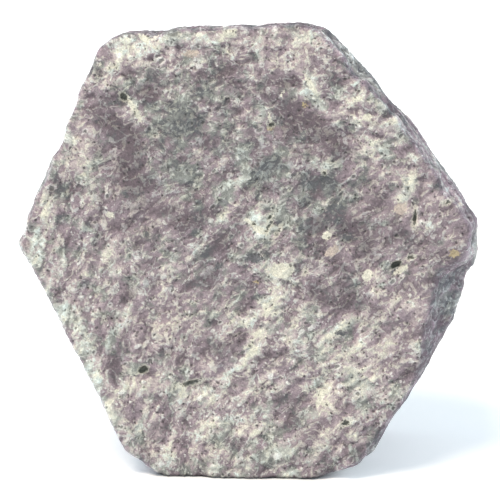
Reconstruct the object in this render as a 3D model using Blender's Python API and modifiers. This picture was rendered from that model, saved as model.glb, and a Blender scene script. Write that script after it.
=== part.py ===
"""A ruby crystal: one six-sided plate of corundum that stands on a prism face.

Metres, +Z up. The broad front face looks along -Y and leans back a little. The origin is on the
surface that the crystal stands on, under the middle of its bounding box.

The crystal is modelled in its own frame first: X to the right, Z up the front face, Y from the
front face towards the back, and the origin in the middle of the front face.
"""

import math

import bmesh
import bpy
from mathutils import Vector, noise

MM = 0.001

# Driving dimensions.
THICKNESS = 20.0 * MM
LEAN = math.radians(8.0)
EDGE_ROUNDING = 1.25 * MM
ROUNDING_STEPS = 3
SHARPEST_BEND_LEFT = math.radians(25.0)
BASE_WEAR = 0.38 * MM
BASE_SMOOTHNESS = 0.80
BLOCK_SIDE = 100.0 * MM

# Each prism face: the bearing of its outward normal, anticlockwise from +X as seen from the front,
# its distance from the middle of the front face, and how far it tapers towards the back.
# The faces on the right are each bent slightly, so they take two or three planes.
PRISM_FACES = {
    "top": (93.8, 24.75 * MM, 8.0),
    "top_right_corner": (68.0, 25.6 * MM, 6.0),
    "upper_right": (42.5, 22.45 * MM, 4.0),
    "upper_right_low": (35.4, 22.25 * MM, 3.0),
    "right_corner": (0.0, 24.9 * MM, 3.0),
    "lower_right_high": (-16.0, 23.85 * MM, 2.0),
    "lower_right": (-28.7, 23.3 * MM, 1.0),
    "lower_right_low": (-33.9, 23.7 * MM, 2.0),
    "bottom_right_corner": (-72.0, 26.0 * MM, 8.0),
    "bottom": (-90.0, 25.13 * MM, math.degrees(LEAN)),
    "bottom_left_corner": (238.0, 25.6 * MM, 8.0),
    "lower_left": (207.5, 21.6 * MM, 9.0),
    "upper_left": (158.3, 23.2 * MM, 9.0),
    "top_left_corner": (126.0, 27.4 * MM, 8.0),
}

# The flake that broke off the front edge, below the right-hand corner: the line on the front face
# where its scar starts, how steeply the scar falls away, and the heights between which it runs.
# The scar's upper end rises outwards.
SCAR_BEARING = math.radians(-9.0)
SCAR_DISTANCE = 21.4 * MM
SCAR_SLOPE = math.radians(36.0)
SCAR_TOP = -1.6 * MM
SCAR_TOP_RISE = math.radians(38.0)
SCAR_LENGTH = 11.5 * MM
SCAR_DEPTH = 12.0 * MM

# Pits and gouges that show on the front face: place on the face (X, Z), length, width, bearing of
# the length in degrees, and depth.
FRONT_MARKS = {
    "upper_left_pit": (-13.0, 16.4, 1.5, 1.3, 0.0, 0.75),
    "upper_left_groove": (-11.6, 14.4, 4.2, 0.9, -62.0, 0.30),
    "triangular_pit": (-10.8, -13.3, 1.5, 1.1, 0.0, 0.60),
    "right_pit": (16.6, -1.0, 2.6, 1.5, 40.0, 0.85),
    "right_crack": (18.5, 4.3, 3.0, 0.8, 82.0, 0.60),
    "low_gouge": (-4.3, -14.4, 4.6, 1.1, 14.0, 0.55),
    "low_centre_hollow": (9.3, -14.0, 3.2, 2.2, 50.0, 0.50),
    "middle_pit": (8.6, 8.7, 1.5, 1.1, 60.0, 0.60),
    "right_dent": (11.9, -8.9, 2.4, 1.6, 20.0, 0.45),
    "top_gouge": (-8.7, 21.5, 3.0, 1.2, -40.0, 0.60),
    "top_edge_nick": (-9.6, 23.7, 2.2, 1.6, 10.0, 0.70),
    "upper_right_nick": (11.8, 19.9, 3.6, 1.2, -52.0, 0.60),
    "upper_middle_pit": (3.4, 14.0, 2.0, 1.1, 70.0, 0.45),
    "bottom_right_pit": (13.8, -19.4, 2.4, 1.2, 30.0, 0.50),
    "lower_right_nick": (20.2, -13.9, 2.0, 1.6, 60.0, 0.60),
}
FRONT_DEPTH = 4.0 * MM

# Shallow hollows in the prism faces, which dent the outline: place on the front face (X, Z), reach
# along the edge, and depth.
FLANK_HOLLOWS = {
    "upper_left_low": (-21.9, 8.0, 2.4, 0.22),
    "upper_left_middle": (-20.0, 11.9, 2.6, 0.45),
    "upper_left_high": (-18.9, 15.2, 2.2, 0.30),
    "lower_left": (-16.9, -14.4, 5.5, 0.45),
    "under_right_corner": (24.1, -2.2, 1.5, 0.30),
    "upper_right": (14.8, 16.4, 3.0, 0.25),
}

# Relief of the whole surface: how high, and how far apart.
SWELL_HEIGHT, SWELL_SIZE = 0.38 * MM, 13.0 * MM
LUMP_HEIGHT, LUMP_SIZE = 0.34 * MM, 4.2 * MM
KNOB_HEIGHT, KNOB_SIZE = 0.20 * MM, 1.7 * MM
PIT_DEPTH, PIT_SPACING, PIT_SHARE = 0.60 * MM, 3.6 * MM, 0.6
PIT_FLOOR_REACH, PIT_RIM_REACH = 0.05, 0.42
# Without a seed of its own, the vector noise that bends the pits' pattern differs from run to run.
PIT_SEED = 1795834532
LEDGE_HEIGHT, LEDGE_SPACING, LEDGE_SHARPNESS = 1.25 * MM, 3.1 * MM, 0.80
LEDGE_WANDER, LEDGE_WANDER_SIZE = 1.1 * MM, 9.0 * MM
FAINTEST_LEDGE, LEDGE_FADING_SIZE = 0.45, 12.0 * MM
SIDE_SMOOTHNESS = 0.35

# Terraces on the back face, where layers parted: the bearing of each step, seen from the front,
# its distance from the middle, and its height. The stone beyond the step is lower.
BACK_TERRACES = (
    (35.0, 6.5 * MM, 0.55 * MM),
    (152.0, 9.5 * MM, 0.60 * MM),
    (270.0, 11.0 * MM, 0.50 * MM),
)
TERRACE_WANDER, TERRACE_WANDER_SIZE, TERRACE_RAMP = 1.6 * MM, 5.0 * MM, 0.7 * MM

# Where the surface counts as a prism face, as the back, or as the underside: the range over which
# the normal's part in that direction fades the effect in.
TURNED_SIDEWAYS = (0.5, 0.9)
TURNED_BACK = (0.5, 0.9)
TURNED_DOWN = (0.7, 0.95)

REMESH_SIZE = 0.46 * MM
MOST_TRIANGLES = 9200

RUBY_COLOUR = (0.33, 0.27, 0.29, 1.0)
RUBY_ROUGHNESS = 0.55


def smoothstep(low, high, value):
    """0 below low, 1 above high, and a smooth ramp between them."""
    share = min(1.0, max(0.0, (value - low) / (high - low)))
    return share * share * (3.0 - 2.0 * share)


def outward(bearing):
    """The direction in the plane of the front face with this bearing, in radians."""
    return Vector((math.cos(bearing), 0.0, math.sin(bearing)))


def clear_scene():
    for thing in list(bpy.data.objects):
        bpy.data.objects.remove(thing, do_unlink=True)


def new_object(name, mesh, collection):
    thing = bpy.data.objects.new(name, mesh)
    collection.objects.link(thing)
    return thing


def new_collection(name):
    collection = bpy.data.collections.new(name)
    bpy.context.scene.collection.children.link(collection)
    return collection


def saw_off(block, point, normal):
    """Takes away all of the block that lies in front of a plane, and closes the cut."""
    everything = block.verts[:] + block.edges[:] + block.faces[:]
    sawn = bmesh.ops.bisect_plane(
        block, geom=everything, plane_co=point, plane_no=normal, clear_outer=True
    )
    rim = [edge for edge in sawn["geom_cut"] if isinstance(edge, bmesh.types.BMEdge)]
    if rim:
        bmesh.ops.contextual_create(block, geom=rim)


def faceted_crystal(collection):
    """The sharp-edged form: a block cut by the two broad faces and by every prism face."""
    block = bmesh.new()
    bmesh.ops.create_cube(block, size=BLOCK_SIDE)
    back = Vector((0.0, 1.0, 0.0))
    saw_off(block, Vector((0.0, 0.0, 0.0)), -back)
    saw_off(block, back * THICKNESS, back)
    for bearing, distance, taper in PRISM_FACES.values():
        across = outward(math.radians(bearing))
        slope = math.radians(taper)
        saw_off(block, across * distance, across * math.cos(slope) + back * math.sin(slope))
    bmesh.ops.recalc_face_normals(block, faces=block.faces)
    mesh = bpy.data.meshes.new("faceted_crystal")
    block.to_mesh(mesh)
    block.free()
    return new_object("faceted_crystal", mesh, collection)


def scar_cutter(collection):
    """A tilted block whose lower-left face is the scar of the flake that broke off the front edge."""
    block = bmesh.new()
    bmesh.ops.create_cube(block, size=1.0)
    bmesh.ops.scale(block, verts=block.verts, vec=(SCAR_DEPTH, SCAR_DEPTH * 2.0, SCAR_LENGTH))
    bmesh.ops.translate(block, verts=block.verts, vec=(SCAR_DEPTH / 2.0, 0.0, -SCAR_LENGTH / 2.0))
    outer_top = [corner for corner in block.verts if corner.co.x > 0.5 * SCAR_DEPTH and corner.co.z > -MM]
    bmesh.ops.translate(block, verts=outer_top, vec=(0.0, 0.0, SCAR_DEPTH * math.tan(SCAR_TOP_RISE)))
    mesh = bpy.data.meshes.new("scar_cutter")
    block.to_mesh(mesh)
    block.free()
    cutter = new_object("scar_cutter", mesh, collection)
    start = outward(SCAR_BEARING) * SCAR_DISTANCE
    cutter.location = (start.x, 0.0, SCAR_TOP)
    cutter.rotation_euler = (0.0, -SCAR_BEARING, -SCAR_SLOPE)
    cutter.rotation_mode = "YXZ"
    cutter.hide_render = True
    cutter.display_type = "WIRE"
    return cutter


def chance_at(point):
    """A repeatable chance between 0 and 1 for each unit cell of space."""
    return 0.5 + 0.5 * noise.cell(point)


def swell(point):
    """Slow undulation and the lumps on it."""
    slow = noise.fractal(point / SWELL_SIZE, 1.0, 2.0, 3)
    lumps = noise.fractal(point / LUMP_SIZE + Vector((7.1, 2.3, 5.9)), 0.9, 2.1, 3)
    knobs = noise.noise(point / KNOB_SIZE + Vector((1.7, 9.2, 3.3)))
    return SWELL_HEIGHT * slow + LUMP_HEIGHT * lumps + KNOB_HEIGHT * knobs


def pitting(point):
    """Depth of the small pits, of which only some cells of a Voronoi pattern hold one."""
    bent = point / PIT_SPACING
    bent += noise.noise_vector(bent * 1.3) * 0.25
    distances, centres = noise.voronoi(bent)
    if chance_at(centres[0] * 7.0) > PIT_SHARE:
        return 0.0
    return PIT_DEPTH * (1.0 - smoothstep(PIT_FLOOR_REACH, PIT_RIM_REACH, distances[0]))


def growth_ledges(point, sideways):
    """Layers that stand out or fall back by turns on the prism faces, parallel to the broad faces."""
    wander = LEDGE_WANDER * noise.noise(point / LEDGE_WANDER_SIZE + Vector((4.0, 0.0, 8.0)))
    layer = (point.y + wander) / LEDGE_SPACING
    floor = math.floor(layer)
    here, after = (chance_at(Vector((index * 3.7, 0.5, 0.5))) for index in (floor, floor + 1))
    offset = here + (after - here) * smoothstep(LEDGE_SHARPNESS, 1.0, layer - floor)
    clearness = smoothstep(-0.3, 0.3, noise.noise(point / LEDGE_FADING_SIZE))
    fading = FAINTEST_LEDGE + (1.0 - FAINTEST_LEDGE) * clearness
    return LEDGE_HEIGHT * (offset - 0.5) * fading * sideways


def back_terraces(point, backwards):
    """How far the back face falls at the steps between its terraces."""
    fall = 0.0
    for bearing, distance, height in BACK_TERRACES:
        wander = TERRACE_WANDER * noise.noise(point / TERRACE_WANDER_SIZE + Vector((bearing, 0.0, 0.0)))
        beyond = point.dot(outward(math.radians(bearing))) + wander - distance
        fall += height * smoothstep(0.0, TERRACE_RAMP, beyond)
    return fall * backwards


def front_marks(point):
    """Depth of the named pits and gouges at a point near the front face."""
    if point.y > FRONT_DEPTH:
        return 0.0
    deepest = 0.0
    for x, z, length, width, bearing, depth in FRONT_MARKS.values():
        turn = math.radians(bearing)
        across, up = point.x - x * MM, point.z - z * MM
        along = across * math.cos(turn) + up * math.sin(turn)
        beside = up * math.cos(turn) - across * math.sin(turn)
        away = math.hypot(along / (length * MM / 2.0), beside / (width * MM / 2.0))
        deepest = max(deepest, depth * MM * (1.0 - smoothstep(0.25, 1.15, away)))
    return deepest


def flank_hollows(point, sideways):
    """Depth of the shallow hollows at a point on a prism face."""
    depth = 0.0
    for x, z, reach, deepest in FLANK_HOLLOWS.values():
        away = math.hypot(point.x - x * MM, point.z - z * MM) / (reach * MM)
        depth += deepest * MM * (1.0 - smoothstep(0.2, 1.0, away))
    return depth * sideways


def weather(mesh):
    """Moves each point of the fine mesh along its normal to give the crystal its worn surface."""
    noise.seed_set(PIT_SEED)
    normals = [vertex.normal.copy() for vertex in mesh.vertices]
    for vertex, normal in zip(mesh.vertices, normals):
        place = vertex.co.copy()
        sideways = smoothstep(*TURNED_SIDEWAYS, math.hypot(normal.x, normal.z))
        backwards = smoothstep(*TURNED_BACK, normal.y)
        height = (swell(place) - pitting(place)) * (1.0 - SIDE_SMOOTHNESS * sideways)
        height += growth_ledges(place, sideways)
        height *= 1.0 - BASE_SMOOTHNESS * smoothstep(*TURNED_DOWN, -normal.z)
        height -= front_marks(place) + flank_hollows(place, sideways) + back_terraces(place, backwards)
        vertex.co = place + normal * height


def evaluated_copy(thing, name):
    """A new mesh of the object as its modifiers make it."""
    bpy.context.view_layer.update()
    graph = bpy.context.evaluated_depsgraph_get()
    mesh = bpy.data.meshes.new_from_object(thing.evaluated_get(graph))
    mesh.name = name
    return mesh


def worn_crystal(faceted, scar, collection):
    """Rounds the sharp form's edges, breaks the flake off it and gives it its surface."""
    rounding = faceted.modifiers.new("worn_edges", "BEVEL")
    rounding.width = EDGE_ROUNDING
    rounding.segments = ROUNDING_STEPS
    rounding.limit_method = "ANGLE"
    rounding.angle_limit = SHARPEST_BEND_LEFT
    chipping = faceted.modifiers.new("broken_flake", "BOOLEAN")
    chipping.operation = "DIFFERENCE"
    chipping.object = scar
    even = faceted.modifiers.new("even_grid", "REMESH")
    even.mode = "VOXEL"
    even.voxel_size = REMESH_SIZE
    mesh = evaluated_copy(faceted, "ruby_crystal")
    bpy.data.objects.remove(faceted, do_unlink=True)
    weather(mesh)
    crystal = new_object("ruby_crystal", mesh, collection)
    thinning = crystal.modifiers.new("fewer_triangles", "DECIMATE")
    thinning.ratio = MOST_TRIANGLES / (2.0 * len(mesh.polygons))
    return crystal


def floor_cutter(collection):
    """A slab under the crystal, whose top is the surface that it stands on."""
    block = bmesh.new()
    bmesh.ops.create_cube(block, size=BLOCK_SIDE)
    bmesh.ops.translate(block, verts=block.verts, vec=(0.0, 0.0, -BLOCK_SIDE / 2.0))
    mesh = bpy.data.meshes.new("floor_cutter")
    block.to_mesh(mesh)
    block.free()
    cutter = new_object("floor_cutter", mesh, collection)
    cutter.hide_render = True
    cutter.display_type = "WIRE"
    return cutter


def stand_up(crystal, cutter):
    """Leans the crystal back onto its bottom prism face and wears a flat there to rest on."""
    _, distance, taper = PRISM_FACES["bottom"]
    crystal.rotation_euler = (-LEAN, 0.0, 0.0)
    crystal.location.z = distance * math.cos(math.radians(taper)) - BASE_WEAR
    resting = crystal.modifiers.new("resting_flat", "BOOLEAN")
    resting.operation = "DIFFERENCE"
    resting.object = cutter


def centre_over_origin(crystal):
    """Slides the crystal along the floor until its bounding box is centred on the origin."""
    bpy.context.view_layer.update()
    graph = bpy.context.evaluated_depsgraph_get()
    shown = crystal.evaluated_get(graph)
    points = [shown.matrix_world @ vertex.co for vertex in shown.data.vertices]
    for axis in (0, 1):
        reach = [point[axis] for point in points]
        crystal.location[axis] -= (min(reach) + max(reach)) / 2.0


def ruby_material():
    material = bpy.data.materials.new("ruby")
    material.use_nodes = True
    shader = material.node_tree.nodes["Principled BSDF"]
    shader.inputs["Base Color"].default_value = RUBY_COLOUR
    shader.inputs["Roughness"].default_value = RUBY_ROUGHNESS
    shader.inputs["Metallic"].default_value = 0.0
    return material


def main():
    clear_scene()
    pieces = new_collection("ruby_crystal")
    cutters = new_collection("cutters")
    faceted = faceted_crystal(pieces)
    crystal = worn_crystal(faceted, scar_cutter(cutters), pieces)
    stand_up(crystal, floor_cutter(cutters))
    centre_over_origin(crystal)
    crystal.data.materials.append(ruby_material())
    crystal.data.shade_smooth()


main()
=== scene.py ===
# %% [markdown]
# # A rough ruby crystal
#
# The stone is an opaque, six-sided plate of corundum, about 50 mm across, that stands on one of its
# narrow side faces and leans back a little. It isn't a cut gem: it is mauve and slate grey, laced
# with pale streaks of mica and feldspar, dotted with small grains and pits, and worn all over.
# A finished CAD solid gives its size and its main shape. This script adds the fine surface, the
# materials, the light and the camera.

import math

import bpy
import numpy as np
from mathutils import Matrix, Vector, noise


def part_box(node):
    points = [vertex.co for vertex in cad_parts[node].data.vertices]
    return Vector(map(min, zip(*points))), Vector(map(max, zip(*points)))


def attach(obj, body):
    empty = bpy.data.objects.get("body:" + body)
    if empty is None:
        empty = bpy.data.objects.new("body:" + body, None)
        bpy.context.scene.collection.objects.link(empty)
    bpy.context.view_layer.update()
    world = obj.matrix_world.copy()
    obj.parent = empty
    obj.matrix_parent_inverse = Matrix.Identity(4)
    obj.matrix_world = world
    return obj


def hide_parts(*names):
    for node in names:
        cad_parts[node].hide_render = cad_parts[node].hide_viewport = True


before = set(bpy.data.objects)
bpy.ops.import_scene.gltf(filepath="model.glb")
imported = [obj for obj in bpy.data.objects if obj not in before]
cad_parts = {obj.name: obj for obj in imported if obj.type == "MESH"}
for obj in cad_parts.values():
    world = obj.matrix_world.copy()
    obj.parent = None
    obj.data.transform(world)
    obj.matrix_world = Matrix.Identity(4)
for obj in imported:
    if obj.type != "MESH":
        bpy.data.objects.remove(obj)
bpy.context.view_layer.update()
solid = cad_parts["ruby_crystal"]
low_corner, high_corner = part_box("ruby_crystal")
print("The solid is", [round(1000 * side, 1) for side in high_corner - low_corner], "mm")

# %% [markdown]
# ## Two ways to say where a point is
#
# The picture's axes are simple: Z is up and the camera looks roughly along +Y. The stone's own
# features follow the stone, though, so they are placed in the crystal's own frame: X across the
# front face, Z up the front face, Y into the stone, in millimetres, with its origin in the middle
# of the front face. The front face leans back by 8 degrees, so the crystal's frame is the picture's
# frame moved and turned back by that angle.

# %% The crystal's own frame
MM = 0.001
LEAN = math.radians(8.0)
FRONT_MIDDLE = Vector((-0.34, -9.45, 24.50)) * MM

lean_forward = np.array(Matrix.Rotation(LEAN, 3, "X"))


def in_crystal_frame(points):
    """The points, an array of places in metres, in the crystal's own frame in millimetres."""
    return (points - np.array(FRONT_MIDDLE)) @ lean_forward.T / MM


corners = in_crystal_frame(np.array([low_corner, high_corner]))
print("In the crystal's frame the box runs from", corners[0].round(1), "to", corners[1].round(1), "mm")

# %% [markdown]
# Patches and marks of the front face are set down on a chart of it, as the camera sees it. Because the
# camera stands a little to the right, the chart is shifted and turned slightly.

# %% The chart of the front face
CHART_MIDDLE = np.array([0.55, 0.0, 0.50])
CHART_TURN = math.radians(0.9)

turn_to_chart = np.array(Matrix.Rotation(CHART_TURN, 3, "Y"))


def on_chart(places):
    """Places in the crystal's frame, as places on the chart: X across, Z up, Y into the stone."""
    return (places - CHART_MIDDLE) @ turn_to_chart.T


print("The crystal's middle lies on the chart at", on_chart(np.zeros((1, 3)))[0].round(2), "mm")


# %% [markdown]
# ## Camera
#
# The photograph was taken from a little above the stone and slightly to its right, so thin strips of
# the two right-hand side faces show. A long lens from 0.6 m keeps the hexagon's sides straight and
# nearly parallel, which is how it looks there.

# %% Camera
CAMERA_AZIMUTH = math.radians(4.5)
CAMERA_ELEVATION = math.radians(15.0)
CAMERA_DISTANCE = 0.60
PICTURE_WIDTH = 54.75 * MM
SENSOR_WIDTH = 36.0
AIM = Vector((0.0, -0.004, 0.0234))


def make_camera():
    toward_camera = Vector((
        math.sin(CAMERA_AZIMUTH) * math.cos(CAMERA_ELEVATION),
        -math.cos(CAMERA_AZIMUTH) * math.cos(CAMERA_ELEVATION),
        math.sin(CAMERA_ELEVATION),
    ))
    lens = bpy.data.cameras.new("camera")
    lens.sensor_width = SENSOR_WIDTH
    lens.lens = SENSOR_WIDTH * CAMERA_DISTANCE / PICTURE_WIDTH
    camera = bpy.data.objects.new("camera", lens)
    camera.location = AIM + toward_camera * CAMERA_DISTANCE
    camera.rotation_euler = toward_camera.to_track_quat("Z", "Y").to_euler()
    bpy.context.scene.collection.objects.link(camera)
    bpy.context.scene.camera = camera
    return camera


camera = make_camera()
print("Lens:", round(camera.data.lens, 1), "mm")

# %% [markdown]
# ## The fine mesh
#
# The solid has about nine thousand triangles, each a millimetre across. That carries the shape of
# the stone, but not its skin, which has ridges and pits a quarter of a millimetre wide. So the
# visible piece starts as a copy of the solid, is rebuilt on an even grid with a Remesh modifier, and
# is smoothed until the big triangles no longer show.

# %% A fine copy of the solid
GRID = 0.22 * MM
SMOOTHING_ROUNDS = 10


def apply_modifiers(thing, name):
    """Replaces the object's mesh by the mesh that its modifiers make."""
    graph = bpy.context.evaluated_depsgraph_get()
    mesh = bpy.data.meshes.new_from_object(thing.evaluated_get(graph))
    mesh.name = name
    thing.modifiers.clear()
    thing.data = mesh
    return mesh


def make_fine_copy():
    stone = bpy.data.objects.new("crystal_skin", solid.data.copy())
    bpy.context.scene.collection.objects.link(stone)
    stone.data.materials.clear()
    grid = stone.modifiers.new("even_grid", "REMESH")
    grid.mode = "VOXEL"
    grid.voxel_size = GRID
    soften = stone.modifiers.new("soften_big_triangles", "SMOOTH")
    soften.factor = 0.5
    soften.iterations = SMOOTHING_ROUNDS
    bpy.context.view_layer.update()
    apply_modifiers(stone, "crystal_skin")
    return stone


stone = make_fine_copy()
print("The fine mesh has", len(stone.data.vertices), "points")

# %% [markdown]
# ## Where the colours lie
#
# The stone's colour changes in patches a few millimetres wide: plum and slate where the corundum is
# clear of mica, pink where it is reddest, grey-green, cream and white where the mica is dense. A
# painted image could carry that, but it would smear on the side faces. Here each kind of patch says
# how much it makes the stone paler, pinker and warmer, and the patches themselves are ellipses on
# the front face, set down one by one.

# %% Kinds of patch
# Three strengths: pale (minus is dark), pink (minus is green-grey), and warm (minus is blue).
PATCH_KINDS = {
    "plum": (-0.85, 0.35, 0.0),
    "slate": (-0.85, -0.15, -0.5),
    "grey green": (-0.30, -0.55, 0.1),
    "brown": (-0.45, 0.30, 0.7),
    "rose": (-0.10, 0.90, 0.2),
    "pink cream": (0.60, 0.60, 0.4),
    "cream": (0.90, -0.05, 0.5),
    "cool white": (0.85, -0.50, -0.2),
}
print("Kinds of patch:", ", ".join(PATCH_KINDS))

# %% [markdown]
# Wide areas make whole parts of the face paler or darker. Small spots then do the same for single
# places, where the wide areas and the patches leave the face too dark or too pale. In calm areas the
# stone is smooth and even, with weaker streaks.

# %% Wide areas, small spots and calm areas
# Middle X and Z, half-length and half-width in mm, slant in degrees, and paleness.
WIDE_AREAS = [
    (-2.0, 11.0, 14.0, 7.0, -8, -0.42),     # darker upper half
    (-13.5, 11.0, 7.0, 2.3, -65, -0.42),    # plum band at the upper left
    (8.0, 0.5, 9.0, 6.0, -30, -0.28),       # darker right of the middle
    (2.0, -18.0, 13.0, 6.5, 5, 0.30),       # paler foot
    (-21.0, 4.0, 11.0, 3.0, 65, 0.30),      # paler left edge
    (15.5, 11.0, 8.0, 3.0, -50, 0.22),      # paler upper right
    (-9.0, 22.0, 9.0, 2.2, 5, 0.45),        # paler top edge, left
    (4.5, 21.5, 4.5, 2.5, -20, 0.25),       # paler top edge, right
    (13.0, -11.0, 6.0, 4.5, 50, 0.25),      # paler lower right
    (-18.0, -6.0, 8.0, 3.0, -60, 0.25),     # paler lower left edge
]
SMALL_SPOTS = [
    (2.5, -8.0, 2.6, 1.9, 60, 0.70), (1.6, -1.7, 1.8, 1.4, 0, 0.75), (-2.2, 14.5, 2.0, 1.5, 0, 0.50),
    (-18.6, 14.5, 4.4, 1.6, 60, 0.65), (-15.5, 20.6, 2.6, 1.6, 20, 0.45), (8.0, 16.2, 1.8, 1.4, 0, 0.40),
    (-9.8, 9.9, 2.0, 1.5, 0, 0.40), (-0.3, 21.0, 1.8, 1.3, 0, 0.35), (12.0, -13.0, 2.0, 1.5, 0, 0.35),
    (-11.1, -2.3, 2.2, 1.6, 80, -0.60), (4.5, 18.6, 2.0, 1.5, -20, -0.60), (-4.7, -17.8, 2.2, 1.6, 0, -0.55),
    (19.2, -0.4, 2.2, 1.6, 0, -0.50), (-22.9, 3.8, 2.2, 1.6, 65, -0.50), (12.9, 16.3, 2.0, 1.4, -40, -0.45),
    (-9.1, -7.3, 1.8, 1.4, 0, -0.45), (-3.9, -3.3, 1.8, 1.4, 0, -0.40), (11.9, 1.3, 2.2, 2.4, 0, -0.45),
    (9.7, -17.1, 1.8, 1.4, 60, -0.40), (8.4, 11.6, 2.6, 2.0, 0, -0.45), (0.5, -11.8, 2.0, 1.5, 45, 0.55),
    (12.4, 20.2, 2.2, 1.4, -50, 0.50), (15.4, 6.2, 1.8, 1.4, 0, 0.45), (-15.2, -17.2, 2.0, 1.4, -60, 0.45),
    (-14.6, -1.0, 1.8, 1.3, 0, 0.40), (8.5, -11.2, 1.6, 1.3, 0, 0.35), (-15.9, -4.4, 1.8, 1.3, 0, -0.35),
    (8.5, -7.2, 1.8, 1.3, 0, -0.40), (5.6, 13.4, 1.8, 1.3, 0, -0.35), (-6.7, 11.6, 1.8, 1.4, 0, -0.35),
    (-19.3, 8.7, 1.8, 1.3, 60, -0.35), (15.1, -6.1, 1.6, 1.3, 0, -0.35), (18.4, 13.0, 2.4, 1.3, -50, 0.45),
    (-14.2, -11.4, 1.8, 1.3, 80, -0.50), (5.4, 18.2, 2.0, 1.3, 0, -0.35), (9.2, -15.0, 1.8, 1.2, 0, -0.35),
    (-9.6, -14.4, 1.8, 1.2, 0, -0.35), (-20.2, 11.9, 2.0, 1.2, 60, 0.45), (-4.3, 7.1, 1.8, 1.3, 0, 0.40),
    (10.9, -4.1, 1.6, 1.2, 0, 0.35), (-2.1, 14.4, 1.6, 1.2, 0, 0.30), (19.5, -9.2, 1.8, 1.2, 60, 0.40),
    (-6.2, -4.8, 1.6, 1.2, 0, 0.35), (-13.6, -21.4, 1.8, 1.2, 0, 0.30), (6.6, 5.6, 1.8, 1.2, 0, 0.30),
    (6.0, 21.8, 3.2, 2.2, -25, 0.75), (7.6, 15.7, 1.8, 1.3, 0, 0.45), (-0.8, -11.7, 1.8, 1.3, 0, 0.45),
    (-6.7, -24.6, 2.5, 1.2, 0, 0.70), (1.9, 19.0, 1.6, 1.2, 0, 0.45), (0.9, -2.6, 1.4, 1.1, 0, 0.30),
    (12.6, -9.6, 1.6, 1.3, 0, -0.40), (0.0, 2.4, 1.4, 1.2, 0, -0.40), (-4.7, -3.2, 1.6, 1.3, 0, -0.35),
    (6.1, -19.0, 1.6, 1.2, 0, -0.35), (18.3, 6.4, 1.6, 1.2, 0, -0.30), (-13.1, -7.2, 1.6, 1.2, 0, -0.30),
    (3.2, -7.4, 1.6, 1.2, 0, 0.40), (11.9, 19.9, 1.8, 1.3, 0, 0.35), (-2.9, 20.9, 1.8, 1.2, 0, 0.35),
    # The dark spot at X 10.9 and Z -24.4, by the foot's right corner, is painted shade where the stone meets
    # the floor.
    (-11.0, -12.0, 1.5, 1.2, 0, 0.30), (10.9, -24.4, 3.0, 1.4, 0, -0.60), (2.3, 23.8, 2.4, 1.0, 0, -0.40),
    (16.5, -18.1, 1.6, 1.2, 0, -0.40), (8.5, 23.2, 1.8, 1.0, -25, 0.50), (8.0, 1.4, 1.4, 1.1, 0, 0.30),
]

# The same without paleness.
CALM_AREAS = [
    (16.5, -9.0, 5.0, 3.0, 60), (22.0, 2.8, 3.0, 2.4, 0), (4.8, 21.0, 2.8, 1.8, -20),
    (-17.8, 11.5, 2.4, 1.4, 60), (-13.0, 10.0, 6.0, 2.4, -65), (7.5, 14.0, 3.6, 1.8, -35),
    (9.5, -4.8, 2.6, 1.2, -20), (12.2, 2.5, 2.8, 1.4, -35), (6.5, -19.5, 4.0, 1.8, 25),
]
print(len(WIDE_AREAS), "wide areas,", len(SMALL_SPOTS), "small spots,", len(CALM_AREAS), "calm areas")

# %% [markdown]
# Next come the patches that differ from their surroundings in colour as well, kind by kind.

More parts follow.
